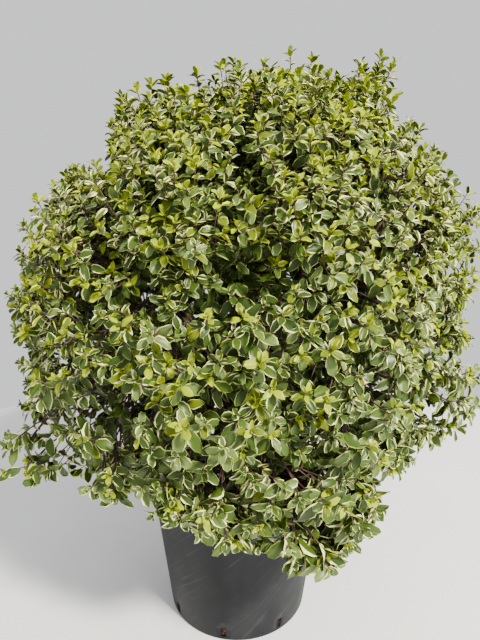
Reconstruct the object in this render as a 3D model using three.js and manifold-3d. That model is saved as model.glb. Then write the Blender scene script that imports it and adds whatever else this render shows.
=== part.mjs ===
// Potted variegated kohuhu: a dense rounded evergreen shrub in a plain black nursery pot.
// Millimetres, +Z up. The origin is the middle of the pot's flat underside. The viewer stands on
// the -Y side, with +X to the right. A short trunk rises from the potting mix inside the crown and
// carries one bough for each mass of foliage. Each mass keeps to its own wedge of the crown.

import * as THREE from 'three';
import { mergeVertices } from 'three/addons/utils/BufferGeometryUtils.js';
import Module from 'manifold-3d';

const wasm = await Module();
wasm.setup();

// Driving dimensions, in millimetres and degrees. Shares run from 0 to 1.

const GAP = 0.3;                       // clear space between neighbouring solids
const WELD = 0.001;                    // corners closer than this are made one

const POT = {
  sides: 36,
  baseRadius: 157,
  height: 300,
  taper: 7,                            // how far the wall leans out from upright
  wall: 3,
  footRound: 4,
  lipReach: 9,                         // the turned-over rim stands this far out from the wall
  lipDepth: 20,
};

// Drain slots through the wall, the first a little left of the front
const SLOT = { count: 8, first: -11, width: 11, height: 24, above: 9, depth: 30 };

// The mix's surface: its depth below the rim, the level part round the trunk, and its lumps
const MIX = { below: 17, level: 46, rings: 2, swell: 3, lumps: 3, twist: 21, ripple: 17 };

const TRUNK = {
  sides: 9, steps: 10,
  top: 800, lean: 14, sway: 9,
  radius: 17, tipRadius: 5.2, flare: 9, flareHeight: 26,
  cut: 12,                             // the limb starts this far below its flat cut
};

const BOUGH = {
  sides: 5, steps: 4,
  lowest: 326, highest: 668,           // heights on the trunk of the first and last bough
  radius: 7.2, tipRadius: 4.6,
  end: 0.46,                           // a bough ends at this share of the crown's reach
  climb: 0.85,                         // rise for each step out where it leaves the trunk
  lift: 0.25,                          // how far its tip bends up from its mass's direction
  firstBend: 0.4, lastBend: 0.3,       // shares of the span that keep to the end directions
};

const CROWN = {
  centre: new THREE.Vector3(0, 0, 745),
  radius: 470, rise: 424, drop: 418,
  powerAbove: 2.2, powerBelow: 4.5,    // 2 is an ellipse, more is squarer
  lean: 46,                            // the upper right stands out, the upper left falls back
};

// Sprays that stand beyond the even outline, and hollows in it, each a soft bump or dip
const BUMPS = [
  { azimuth: -66, elevation: -50, reach: 78, spread: 10 },   // hangs beside the pot, front right
  { azimuth: -153, elevation: -34, reach: 62, spread: 7 },   // stands out low at the front left
  { azimuth: -136, elevation: -42, reach: -60, spread: 10 }, // open under the front left
  { azimuth: -111, elevation: -44, reach: -50, spread: 9 },  // lifts off the rim, left of the front
  { azimuth: 183, elevation: -38, reach: 30, spread: 15 },   // spreads low on the left
  { azimuth: -14, elevation: 57, reach: 40, spread: 6 },     // proud shoots at the top right
  { azimuth: -28, elevation: 38, reach: -52, spread: 13 },   // falls away below them
  { azimuth: -148, elevation: 37, reach: -95, spread: 7 },   // notch in the left shoulder
  { azimuth: -134, elevation: 33, reach: -45, spread: 7 },   // its near end
  { azimuth: -164, elevation: 40, reach: -45, spread: 7 },   // its far end
  { azimuth: -132, elevation: 54, reach: 22, spread: 8 },    // swells above the notch
  { azimuth: -108, elevation: 62, reach: 18, spread: 15 },   // full at the top, left of the front
  { azimuth: -40, elevation: -35, reach: -58, spread: 9 },   // open under the front right
  { azimuth: -30, elevation: -20, reach: 46, spread: 9 },    // stands out low at the right
];

// The stride deals each tier's boughs up the trunk so that neighbours leave it far apart
const TIERS = [
  { name: 'skirt', count: 7, elevation: -35, turn: 12, stride: 3 },
  { name: 'middle', count: 7, elevation: 6, turn: -14, stride: 3 },
  { name: 'upper', count: 5, elevation: 47, turn: 20, stride: 2 },
  { name: 'top', count: 1, elevation: 90, turn: 0, stride: 1 },
];

// The dense inner part of a mass, as shares of the crown's reach. A higher power fills the corners
// of the wedge more squarely.
const CORE = { inner: 0.49, middle: 0.67, outer: 0.84, power: 12, detail: 1, clear: 3, lump: 0.06 };

const TWIG = {
  tips: 142, jitter: 0.25, depth: 0.04,
  sides: 3, tipRadius: 2.3, power: 0.45, taper: 0.2,
  stem: 16, clear: 2,
};

const LEAF = {
  length: 98, width: 54, thick: 3,
  widest: 0.58, thickest: 0.16,        // shares of the length from the root
  perShoot: 4, apart: 6, sunk: 3,      // the last leaf is rooted this far inside the shoot's tip
  turn: 137.5, tries: 9, shrink: 0.03,
  spread: 72, closing: 7, scatter: 10, // how far a side leaf turns out from its shoot
  endSpread: 20, endLength: 0.7,
  shortest: 0.9, longest: 1.05,
  room: 0.34,                          // a shoot's tip leaves this share of a leaf's length free
};

const LIMB_BALLS = 50;                 // balls strung along each limb to feel for what touches it
const SEED = 7;

const COLOURS = {
  pot: { color: 0x2b2d30, roughness: 0.55 },
  mix: { color: 0x2e211a, roughness: 0.95 },
  bark: { color: 0x4a3a33, roughness: 0.85 },
  leaf: { color: 0x7f9a55, roughness: 0.5 },
};

// Small helpers

const radians = THREE.MathUtils.degToRad;

const UP = new THREE.Vector3(0, 0, 1);

// A seeded stream of even random numbers from 0 to 1
function randomStream(seed) {
  let state = seed >>> 0;
  return () => {
    state = (state + 0x6d2b79f5) >>> 0;
    let mixed = Math.imul(state ^ (state >>> 15), state | 1);
    mixed ^= mixed + Math.imul(mixed ^ (mixed >>> 7), mixed | 61);
    return ((mixed ^ (mixed >>> 14)) >>> 0) / 2 ** 32;
  };
}

// The unit vector at an azimuth from +X towards +Y and an elevation above level
function directionAt(azimuth, elevation) {
  const level = Math.cos(radians(elevation));
  return new THREE.Vector3(
    level * Math.cos(radians(azimuth)),
    level * Math.sin(radians(azimuth)),
    Math.sin(radians(elevation)),
  );
}

// Any unit vector square to the given one
function squareTo(axis) {
  const spare = Math.abs(axis.z) < 0.9 ? UP : new THREE.Vector3(1, 0, 0);
  return new THREE.Vector3().crossVectors(axis, spare).normalize();
}

// A closed three.js geometry as a solid that can be joined and cut
function solidOf(geometry, weld = 1e-4) {
  geometry.deleteAttribute('normal');
  geometry.deleteAttribute('uv');
  const merged = mergeVertices(geometry, weld);
  return new wasm.Manifold(new wasm.Mesh({
    numProp: 3,
    vertProperties: new Float32Array(merged.attributes.position.array),
    triVerts: new Uint32Array(merged.index.array),
  }));
}

// The main body of a solid, as a geometry. Scraps that a cut leaves loose are dropped, and a
// hollow that a join seals is filled, because both come apart as bodies of less volume.
function mainBody(solid) {
  const bodies = solid.decompose().sort((one, other) => other.volume() - one.volume());
  const mesh = bodies[0].getMesh();
  const geometry = new THREE.BufferGeometry();
  geometry.setAttribute('position', new THREE.BufferAttribute(mesh.vertProperties, 3));
  geometry.setIndex(new THREE.BufferAttribute(mesh.triVerts, 1));
  return geometry;
}

// The finished geometry of a solid, with corners closer than the weld made one, which can set
// loose what hung on a sliver, so the main body is taken again
function geometryOf(solid) {
  const geometry = mainBody(solidOf(mainBody(solid), WELD));
  geometry.computeVertexNormals();
  return geometry;
}

// A limb along a curve: a capped cylinder with its rings laid square to the curve, each scaled
// to the radius that radiusAt gives for its share of the way
function limbSolid(curve, radiusAt, sides, steps) {
  const geometry = new THREE.CylinderGeometry(1, 1, 1, sides, steps);
  const frames = curve.computeFrenetFrames(steps, false);
  const spots = geometry.attributes.position;
  for (let i = 0; i < spots.count; i++) {
    const ring = Math.round((spots.getY(i) + 0.5) * steps);
    const share = ring / steps;
    const radius = radiusAt(share);
    const spot = curve.getPointAt(share)
      .addScaledVector(frames.binormals[ring], spots.getX(i) * radius)
      .addScaledVector(frames.normals[ring], spots.getZ(i) * radius);
    spots.setXYZ(i, spot.x, spot.y, spot.z);
  }
  return solidOf(geometry);
}

// Pot: a tapered moulded tub with a turned-over rim and a ring of drain slots low in the wall

const wallSlope = Math.tan(radians(POT.taper));

// The wall's outer radius at a height
const potRadius = (height) => POT.baseRadius + height * wallSlope;

function lathe(profile, sides) {
  const geometry = new THREE.LatheGeometry(profile.map(([r, z]) => new THREE.Vector2(r, z)), sides);
  return geometry.rotateX(Math.PI / 2);
}

function potSolid() {
  const { baseRadius, height, wall, footRound, lipReach, lipDepth } = POT;
  const lipFoot = height - lipDepth;
  const lipOut = potRadius(height) + lipReach;
  const profile = [
    [0, 0],
    [baseRadius - footRound / 2, 0],
    [potRadius(footRound), footRound],
    [potRadius(height - wall), height - wall],
    [lipOut - wall, height - wall],
    [lipOut - wall, lipFoot],
    [lipOut, lipFoot],
    [lipOut, height - wall],
    [lipOut - wall, height],
    [potRadius(height) - wall, height],
    [potRadius(wall) - wall, wall],
    [0, wall],
  ];
  let pot = solidOf(lathe(profile, POT.sides));
  for (let i = 0; i < SLOT.count; i++) {
    const slot = new THREE.BoxGeometry(SLOT.width, SLOT.depth, SLOT.height);
    slot.translate(0, -potRadius(SLOT.above), SLOT.above + SLOT.height / 2);
    slot.rotateZ(radians(SLOT.first + (i * 360) / SLOT.count));
    pot = pot.subtract(solidOf(slot));
  }
  return pot;
}

// Potting mix: fills the pot to a little below its rim, level round the trunk and lumpy outside

const mixTop = POT.height - MIX.below;

function mixSolid() {
  const inside = (height) => potRadius(height) - POT.wall - GAP;
  const foot = POT.wall + GAP;
  const profile = [[0, foot], [inside(foot), foot], [inside(mixTop), mixTop]];
  for (let ring = 1; ring <= MIX.rings; ring++) {
    const share = ring / MIX.rings;
    profile.push([THREE.MathUtils.lerp(inside(mixTop), MIX.level, share), mixTop]);
  }
  profile.push([0, mixTop]);
  const geometry = lathe(profile, POT.sides);
  const spots = geometry.attributes.position;
  for (let i = 0; i < spots.count; i++) {
    const [x, y, z] = [spots.getX(i), spots.getY(i), spots.getZ(i)];
    const radius = Math.hypot(x, y);
    if (z > mixTop - 1 && radius > MIX.level + 1 && radius < inside(mixTop) - 1) {
      const azimuth = Math.atan2(y, x);
      const wave = Math.sin(MIX.lumps * azimuth + radius / MIX.twist) * Math.cos(radius / MIX.ripple);
      spots.setZ(i, z + MIX.swell * wave);
    }
  }
  return solidOf(geometry);
}

// Trunk: one stem with a flared foot, a flat cut on the potting mix, a slight lean and a sway

const trunkFoot = mixTop + GAP;

function trunkPoint(height) {
  const share = (height - trunkFoot) / (TRUNK.top - trunkFoot);
  return new THREE.Vector3(
    TRUNK.lean * share + TRUNK.sway * Math.sin(Math.PI * 2 * share),
    TRUNK.sway * share * Math.sin(Math.PI * share),
    height,
  );
}

const trunkStart = trunkFoot - TRUNK.cut;

function trunkRadius(share) {
  const rise = share * (TRUNK.top - trunkStart) - TRUNK.cut;
  const taper = THREE.MathUtils.lerp(TRUNK.radius, TRUNK.tipRadius, share);
  return taper + TRUNK.flare * Math.exp(-rise / TRUNK.flareHeight);
}

const trunkCurve = new THREE.CatmullRomCurve3(
  Array.from({ length: TRUNK.steps + 1 }, (_, i) => (
    trunkPoint(THREE.MathUtils.lerp(trunkStart, TRUNK.top, i / TRUNK.steps)))),
);

// The trunk, or the same grown by a margin, to cut what joins it clear
function trunkSolid(margin) {
  const grown = (share) => trunkRadius(share) + margin;
  const trunk = limbSolid(trunkCurve, grown, TRUNK.sides, TRUNK.steps);
  const size = POT.baseRadius;
  const below = new THREE.BoxGeometry(size, size, size);
  below.translate(0, 0, trunkFoot - size / 2);
  return trunk.subtract(solidOf(below));
}

// Crown: how far the foliage reaches from the crown's centre in a direction

function reach(direction) {
  const above = direction.z > 0;
  const power = above ? CROWN.powerAbove : CROWN.powerBelow;
  const level = Math.hypot(direction.x, direction.y) / CROWN.radius;
  const upright = Math.abs(direction.z) / (above ? CROWN.rise : CROWN.drop);
  let distance = (level ** power + upright ** power) ** (-1 / power);
  distance += CROWN.lean * 2 * direction.x * Math.max(direction.z, 0);
  for (const bump of BUMPS) {
    const angle = direction.angleTo(directionAt(bump.azimuth, bump.elevation));
    distance += bump.reach * Math.exp(-((angle / radians(bump.spread)) ** 2));
  }
  return distance;
}

const outFromCentre = (direction, share) => (
  CROWN.centre.clone().addScaledVector(direction, reach(direction) * share));

// The masses, tier by tier from the skirt up, each with the direction at the middle of its wedge
// and the rank of its bough on the trunk, dealt so that neighbours leave it at different heights
const masses = [];
for (const tier of TIERS) {
  for (let i = 0; i < tier.count; i++) {
    masses.push({
      name: tier.count > 1 ? `${tier.name}_${i + 1}` : tier.name,
      direction: directionAt(tier.turn + (i * 360) / tier.count, tier.elevation),
      rank: masses.length - i + ((i * tier.stride) % tier.count),
    });
  }
}

// Boughs: each climbs out of the trunk and bends into its own wedge. The trunk's own tip
// carries the top mass, so that mass has no bough.

const boughMasses = masses.slice(0, -1);

const topMass = masses.at(-1);
topMass.heading = trunkCurve.getTangentAt(1);
topMass.stemFoot = trunkCurve.getPointAt(1);

for (const mass of boughMasses) {
  mass.heading = mass.direction.clone().addScaledVector(UP, BOUGH.lift).normalize();
  mass.stemFoot = outFromCentre(mass.direction, BOUGH.end);
  const share = mass.rank / (boughMasses.length - 1);
  const foot = trunkPoint(THREE.MathUtils.lerp(BOUGH.lowest, BOUGH.highest, share));
  const span = foot.distanceTo(mass.stemFoot);
  const outward = new THREE.Vector3(mass.direction.x, mass.direction.y, 0).normalize();
  const firstWay = outward.addScaledVector(UP, BOUGH.climb).normalize();
  mass.curve = new THREE.CubicBezierCurve3(
    foot,
    foot.clone().addScaledVector(firstWay, span * BOUGH.firstBend),
    mass.stemFoot.clone().addScaledVector(mass.heading, -span * BOUGH.lastBend),
    mass.stemFoot,
  );
}

const boughRadius = (share) => THREE.MathUtils.lerp(BOUGH.radius, BOUGH.tipRadius, share);

const boughSolid = (mass, margin) => (
  limbSolid(mass.curve, (share) => boughRadius(share) + margin, BOUGH.sides, BOUGH.steps));

// Balls strung along every limb tell whether a point is clear of the wood
const limbBalls = [];
for (let i = 0; i <= LIMB_BALLS; i++) {
  const share = i / LIMB_BALLS;
  limbBalls.push({ centre: trunkCurve.getPointAt(share), radius: trunkRadius(share) });
  for (const mass of boughMasses) {
    limbBalls.push({ centre: mass.curve.getPointAt(share), radius: boughRadius(share), mass });
  }
}

const clearOfLimbs = (point, margin, own) => limbBalls.every((ball) => (
  ball.mass === own || point.distanceTo(ball.centre) > ball.radius + margin));

// Spaces: a point belongs to the mass whose direction is nearest to its own. The wedge straight
// down belongs to the trunk. A point keeps clear of the walls between wedges by a margin.

const neighbours = [...masses.map((mass) => mass.direction), new THREE.Vector3(0, 0, -1)];

function inWedge(mass, point, margin) {
  const fromCentre = point.clone().sub(CROWN.centre);
  return neighbours.every((other) => {
    if (other === mass.direction) return true;
    const wall = mass.direction.clone().sub(other).normalize();
    return fromCentre.dot(wall) >= margin;
  });
}

function clearOfPot(point, margin) {
  const out = Math.hypot(point.x, point.y);
  return point.z > POT.height + margin || out > potRadius(POT.height) + POT.lipReach + margin;
}

function inReach(point) {
  const fromCentre = point.clone().sub(CROWN.centre);
  return fromCentre.length() <= reach(fromCentre.clone().normalize());
}

// Core: the dense inner part of a mass, a ball round a point in the wedge whose every ray is cut
// short, softly, before it meets a wall of the wedge or the inner or outer limit

function coreSolid(mass, random) {
  const middle = outFromCentre(mass.direction, CORE.middle);
  const out = middle.distanceTo(CROWN.centre);
  const limit = (out * CORE.outer) / CORE.middle;
  const geometry = new THREE.IcosahedronGeometry(1, CORE.detail);
  geometry.deleteAttribute('normal');
  geometry.deleteAttribute('uv');
  const ball = mergeVertices(geometry);
  const spots = ball.attributes.position;
  for (let i = 0; i < spots.count; i++) {
    const ray = new THREE.Vector3().fromBufferAttribute(spots, i);
    const along = ray.dot(mass.direction);
    const toLimit = Math.sqrt((along * out) ** 2 + limit ** 2 - out ** 2) - along * out;
    const toInner = (out * (1 - CORE.inner / CORE.middle)) / Math.max(-along, 0.001);
    let crowding = (1 / toLimit) ** CORE.power + (1 / toInner) ** CORE.power;
    for (const other of neighbours) {
      if (other === mass.direction) continue;
      const wall = mass.direction.clone().sub(other).normalize();
      const room = out * mass.direction.dot(wall) - CORE.clear;
      crowding += (Math.max(-ray.dot(wall), 0) / room) ** CORE.power;
    }
    const length = crowding ** (-1 / CORE.power) * (1 - CORE.lump * random());
    const spot = middle.clone().addScaledVector(ray, length);
    spots.setXYZ(i, spot.x, spot.y, spot.z);
  }
  return solidOf(ball);
}

// Shoots: their tips are dealt evenly over the crown by a golden-angle lattice, each moved a
// little by the seeded stream, and go to the mass in whose wedge they lie

function shootTips() {
  const random = randomStream(SEED + 1);
  const spacing = Math.sqrt((4 * Math.PI) / TWIG.tips);
  for (const mass of masses) mass.tips = [];
  for (let i = 0; i < TWIG.tips; i++) {
    const height = 1 - (2 * i + 1) / TWIG.tips;
    const level = Math.sqrt(1 - height * height);
    const azimuth = i * Math.PI * (3 - Math.sqrt(5));
    const direction = new THREE.Vector3(level * Math.cos(azimuth), level * Math.sin(azimuth), height);
    const shift = new THREE.Vector3(random() - 0.5, random() - 0.5, random() - 0.5);
    direction.addScaledVector(shift, spacing * TWIG.jitter).normalize();
    const depth = 1 - TWIG.depth * random();
    const far = reach(direction) * depth - LEAF.length * LEAF.room;
    const tip = CROWN.centre.clone().addScaledVector(direction, far);
    const mass = masses.find((one) => inWedge(one, tip, TWIG.clear));
    if (mass && clearOfPot(tip, 2 * TWIG.clear)) mass.tips.push(tip);
  }
}

const middleOf = (points) => points
  .reduce((sum, point) => sum.add(point), new THREE.Vector3())
  .divideScalar(points.length);

// The pair of points that are furthest apart
function furthestPair(points) {
  let best = [points[0], points[0]];
  for (const one of points) {
    for (const other of points) {
      if (one.distanceTo(other) > best[0].distanceTo(best[1])) best = [one, other];
    }
  }
  return best;
}

const twigRadius = (count) => TWIG.tipRadius * count ** TWIG.power;

// A straight twig, as thick as the tips it feeds ask for
function addTwig(parts, foot, end, count) {
  const line = new THREE.LineCurve3(foot, end);
  const taper = (share) => twigRadius(count) * (1 - TWIG.taper * share);
  parts.push(limbSolid(line, taper, TWIG.sides, 1));
  return line;
}

// The rule of growth: a stem that feeds several tips runs one even step towards their middle and
// forks there. The two furthest tips each take those nearest to them. A stem that feeds one tip
// is a shoot and carries the leaves. Thickness follows the number of tips that are fed.
function grow(mass, parts, foot, tips, random) {
  if (tips.length === 1) {
    const shoot = addTwig(parts, foot, tips[0], 1);
    addLeaves(mass, parts, shoot, random);
    return;
  }
  const step = 1 / (Math.log2(tips.length) + 2);
  const end = foot.clone().lerp(middleOf(tips), step);
  const twig = addTwig(parts, foot, end, tips.length);
  const [one, other] = furthestPair(tips);
  const nearOne = tips.filter((tip) => tip.distanceTo(one) <= tip.distanceTo(other));
  const nearOther = tips.filter((tip) => !nearOne.includes(tip));
  const inside = end.clone().addScaledVector(twig.getTangentAt(1), -twigRadius(tips.length));
  for (const share of [nearOne, nearOther]) {
    if (share.length) grow(mass, parts, inside, share, random);
  }
}

// Leaf: eight faces, widest past the middle, with its root sunk in the twig. The frame's columns
// are the way across the blade, along it, and out of its upper face.
function leafGeometry(frame, length) {
  const geometry = new THREE.OctahedronGeometry(1);
  const spots = geometry.attributes.position;
  const scale = length / LEAF.length;
  for (let i = 0; i < spots.count; i++) {
    const [x, y, z] = [spots.getX(i), spots.getY(i), spots.getZ(i)];
    let along = (y + 1) / 2;
    if (Math.abs(x) > 0.5) along = LEAF.widest;
    if (Math.abs(z) > 0.5) along = LEAF.thickest;
    spots.setXYZ(i, x * LEAF.width * 0.5 * scale, along * length, z * LEAF.thick * 0.5);
  }
  return geometry.applyMatrix4(frame);
}

function leafFits(mass, geometry, root) {
  const spots = geometry.attributes.position;
  for (let i = 0; i < spots.count; i++) {
    const corner = new THREE.Vector3().fromBufferAttribute(spots, i);
    const halfway = corner.clone().lerp(root, 0.5);
    if (!inWedge(mass, corner, GAP) || !inReach(corner)) return false;
    for (const point of [corner, halfway]) {
      if (!clearOfPot(point, TWIG.clear) || !clearOfLimbs(point, TWIG.clear, mass)) return false;
    }
  }
  return true;
}

// Leaves: one spirals off the shoot at each step and the last carries it on. A leaf that would
// leave the wedge, the crown's reach or the clear space round pot and wood, or cross another
// leaf, turns a little further round its shoot and shrinks, and is skipped where no turn fits.
function addLeaves(mass, parts, shoot, random) {
  const firstTurn = random() * 360;
  for (let i = 0; i < LEAF.perShoot; i++) {
    const last = i === LEAF.perShoot - 1;
    const fromTip = LEAF.sunk + (LEAF.perShoot - 1 - i) * LEAF.apart;
    const share = 1 - fromTip / shoot.getLength();
    const way = shoot.getTangentAt(share);
    const across = squareTo(way);
    const sideSpread = LEAF.spread - LEAF.closing * i + LEAF.scatter * random();
    const spread = radians(last ? LEAF.endSpread : sideSpread);
    const sideLength = THREE.MathUtils.lerp(LEAF.shortest, LEAF.longest, random());
    const length = LEAF.length * (last ? LEAF.endLength : sideLength);
    for (let attempt = 0; attempt < LEAF.tries; attempt++) {
      const turn = radians(firstTurn + i * LEAF.turn + (attempt * 360) / LEAF.tries);
      const side = across.clone().applyAxisAngle(way, turn);
      const along = way.clone().multiplyScalar(Math.cos(spread)).addScaledVector(side, Math.sin(spread));
      const level = new THREE.Vector3().crossVectors(along, way).normalize();
      const face = new THREE.Vector3().crossVectors(level, along).normalize();
      const root = shoot.getPointAt(share);
      const frame = new THREE.Matrix4().makeBasis(level, along, face).setPosition(root);
      const geometry = leafGeometry(frame, length * (1 - LEAF.shrink * attempt));
      if (!leafFits(mass, geometry, root)) continue;
      const blade = solidOf(geometry);
      if (!blade.intersect(mass.blades).isEmpty()) continue;
      mass.blades = mass.blades.add(blade);
      parts.push(blade);
      break;
    }
  }
}

function massSolid(mass, random) {
  const core = coreSolid(mass, random);
  const parts = [];
  mass.blades = core;
  const foot = mass.stemFoot.clone().addScaledVector(mass.heading, GAP);
  const stemEnd = foot.clone().addScaledVector(mass.heading, TWIG.stem);
  const stem = addTwig(parts, foot, stemEnd, mass.tips.length);
  grow(mass, parts, stem.getPointAt(1 - TWIG.taper), mass.tips, random);
  return parts.reduce((whole, part) => whole.add(part), core);
}

// The plant and its pot, one named mesh for each sub-part

const plant = new THREE.Group();

function addMesh(name, solid, look) {
  const mesh = new THREE.Mesh(geometryOf(solid), new THREE.MeshStandardMaterial(look));
  mesh.name = name;
  plant.add(mesh);
}

addMesh('pot', potSolid(), COLOURS.pot);
addMesh('potting_mix', mixSolid(), COLOURS.mix);
addMesh('trunk', trunkSolid(0), COLOURS.bark);

const trunkRoom = trunkSolid(GAP);
for (const mass of boughMasses) {
  addMesh(`bough_${mass.name}`, boughSolid(mass, 0).subtract(trunkRoom), COLOURS.bark);
}

shootTips();
const random = randomStream(SEED + 2);
for (const mass of masses) {
  addMesh(`foliage_${mass.name}`, massSolid(mass, random), COLOURS.leaf);
}

export default plant;
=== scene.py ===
# %% [markdown]
# # A potted variegated kohuhu
# This lesson dresses a plain solid model of a shrub in its pot. The solids say where the pot, the
# potting mix, the trunk, the boughs and the masses of foliage are. Each gets a finer surface here,
# worked out with numpy as whole arrays, and a finish made of shader nodes. The leaves are the
# most work: about thirty-five thousand grow on twigs, by the rule that shaped the solids.
#
# All lengths are in metres. The middle of the pot's flat underside is the origin, +Z is up and
# the viewer of the front stands on the -Y side, with +X to the right.

# %% Load the solid model
import math

import bpy
import numpy as np
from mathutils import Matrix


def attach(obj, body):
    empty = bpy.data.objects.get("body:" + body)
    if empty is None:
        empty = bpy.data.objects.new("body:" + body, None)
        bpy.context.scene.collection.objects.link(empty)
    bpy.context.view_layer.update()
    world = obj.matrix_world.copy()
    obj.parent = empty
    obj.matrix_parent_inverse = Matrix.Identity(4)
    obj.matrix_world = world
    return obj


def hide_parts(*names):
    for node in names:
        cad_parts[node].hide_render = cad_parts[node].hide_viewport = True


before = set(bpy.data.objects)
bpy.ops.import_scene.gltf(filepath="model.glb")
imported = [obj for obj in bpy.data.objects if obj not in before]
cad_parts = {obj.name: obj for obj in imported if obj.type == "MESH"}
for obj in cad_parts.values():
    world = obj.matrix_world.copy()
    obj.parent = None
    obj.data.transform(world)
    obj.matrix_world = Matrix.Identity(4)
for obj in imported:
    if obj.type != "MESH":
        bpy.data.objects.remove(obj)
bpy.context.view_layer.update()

# %% [markdown]
# ## Putting arrays into a mesh
# A mesh is a list of points and a list of faces that name them. Building it point by point in a
# loop is slow, so every shape below is computed as one array of points and one or two arrays of
# faces, and foreach_set hands each array over in a single call.

# %% A mesh from whole arrays
def mesh_piece(name, points, face_blocks, materials, slots=None):
    """Makes an object from points (n, 3) and blocks of faces, each block (m, corners).

    Faces come in the order of the blocks, and slots gives the place of each face's material in
    the list. All faces are shaded smooth."""
    mesh = bpy.data.meshes.new(name)
    corners = np.concatenate([block.ravel() for block in face_blocks])
    sizes = np.concatenate([np.full(len(block), block.shape[1]) for block in face_blocks])
    mesh.vertices.add(len(points))
    mesh.vertices.foreach_set("co", np.asarray(points, np.float32).ravel())
    mesh.loops.add(len(corners))
    mesh.loops.foreach_set("vertex_index", corners.astype(np.int32))
    mesh.polygons.add(len(sizes))
    mesh.polygons.foreach_set("loop_start", (np.cumsum(sizes) - sizes).astype(np.int32))
    for material in materials:
        mesh.materials.append(material)
    if slots is not None:
        mesh.polygons.foreach_set("material_index", slots.astype(np.int32))
    mesh.update(calc_edges=True)
    mesh.shade_smooth()
    piece = bpy.data.objects.new(name, mesh)
    bpy.context.scene.collection.objects.link(piece)
    return piece


def grid_faces(rows, columns, closed):
    """Quads between the points of a grid, numbered row by row. When closed, the last column is
    joined to the first. With columns counter-clockwise and rows upwards they face outwards."""
    index = np.arange(rows * columns).reshape(rows, columns)
    near = index if closed else index[:, :-1]
    far = np.roll(index, -1, axis=1) if closed else index[:, 1:]
    return np.stack([near[:-1], far[:-1], far[1:], near[1:]], axis=-1).reshape(-1, 4)


def fan(ring, middle):
    """Triangles from the points of a ring, numbered round it, to a middle point. With the ring
    counter-clockwise as seen from outside they face outwards."""
    return np.stack([ring, np.roll(ring, -1), np.full(len(ring), middle)], axis=-1)


def place(piece, slot, *nodes):
    """Fixes a finished piece to the one body of the model, in place of the nodes given."""
    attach(piece, "root")
    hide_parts(*nodes)


def unit(vectors):
    """Each vector divided by its own length."""
    return vectors / np.linalg.norm(vectors, axis=-1, keepdims=True)


def full_turn(count):
    """Angles evenly round a circle, the first at 0."""
    return np.linspace(0, 2 * np.pi, count, endpoint=False)


UP = np.array([0.0, 0.0, 1.0])

# %% [markdown]
# ## Finishes from nodes
# Every finish is a Principled shader. Patterned ones mix two or more colours by a noise that
# reads the object's own coordinates, so that the pattern stays on the surface from every side.
# A picture wrapped round each piece could do the same, but noises need no seams and no files.
# The helpers below keep each finish to a few lines.

# %% A plain finish, and links between nodes
def shader_of(material):
    """The material's Principled shader."""
    return material.node_tree.nodes["Principled BSDF"]


def plain_finish(name, colour, roughness, specular):
    """A finish with one colour all over, set on the shader's own sockets."""
    material = bpy.data.materials.new(name)
    material.use_nodes = True
    shader = shader_of(material)
    shader.inputs["Base Color"].default_value = (*colour, 1)
    shader.inputs["Roughness"].default_value = roughness
    shader.inputs["Specular IOR Level"].default_value = specular
    return material


def add_node(material, kind, **values):
    """A new node of a kind, with its inputs set by name."""
    node = material.node_tree.nodes.new(kind)
    for key, value in values.items():
        node.inputs[key.replace("_", " ")].default_value = value
    return node


def join(material, source, target):
    """A link from an output to an input."""
    material.node_tree.links.new(source, target)


def feed(material, socket, source):
    """Lets a pattern drive one of the shader's own sockets."""
    join(material, source, shader_of(material).inputs[socket])


# %% Noises, ramps, blends and bumps
def grey(level):
    """A grey as a colour, with its three parts equal."""
    return (level,) * 3


def object_noise(material, stretch, scale, detail, source=None):
    """A noise on the object's coordinates, or on another source, stretched along the axes."""
    if source is None:
        source = add_node(material, "ShaderNodeTexCoord").outputs["Object"]
    mapping = add_node(material, "ShaderNodeMapping", Scale=stretch)
    noise = add_node(material, "ShaderNodeTexNoise", Scale=scale, Detail=detail)
    join(material, source, mapping.inputs["Vector"])
    join(material, mapping.outputs["Vector"], noise.inputs["Vector"])
    return noise.outputs["Fac"]


def ramp(material, source, stops):
    """A colour ramp over a value, with stops of (place, colour)."""
    node = material.node_tree.nodes.new("ShaderNodeValToRGB")
    while len(node.color_ramp.elements) < len(stops):
        node.color_ramp.elements.new(1)
    for element, (spot, colour) in zip(node.color_ramp.elements, stops):
        element.position = spot
        element.color = (*colour, 1)
    join(material, source, node.inputs["Fac"])
    return node.outputs["Color"]


def blend_colours(material, share, first, second):
    """The first colour where share is 0 and the second where it is 1."""
    node = material.node_tree.nodes.new("ShaderNodeMix")
    node.data_type = "RGBA"
    join(material, share, node.inputs["Factor"])
    sockets = [socket for socket in node.inputs if socket.type == "RGBA"]
    for socket, colour in zip(sockets, (first, second)):
        if isinstance(colour, tuple):
            socket.default_value = (*colour, 1)
        else:
            join(material, colour, socket)
    return next(socket for socket in node.outputs if socket.type == "RGBA")


def add_bump(material, source, depth):
    """Lets a value tilt the surface's normal as if it stood up by depth metres."""
    bump = add_node(material, "ShaderNodeBump", Distance=depth, Strength=1.0)
    join(material, source, bump.inputs["Height"])
    feed(material, "Normal", bump.outputs["Normal"])

# %% [markdown]
# ## The pot
# A nursery pot is moulded in one shot: a thin tapered wall, a rim that turns over and hangs down
# outside as a stiff band, and drain slots low in the wall. It could be a cylinder cut by boxes,
# but a cut leaves ragged faces. Here the wall is one profile turned about the upright axis, with
# a row of points at the top and bottom of the slots and a column at each side of them, so the
# faces of each window can simply be left out and the wall's thickness joined across.

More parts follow.
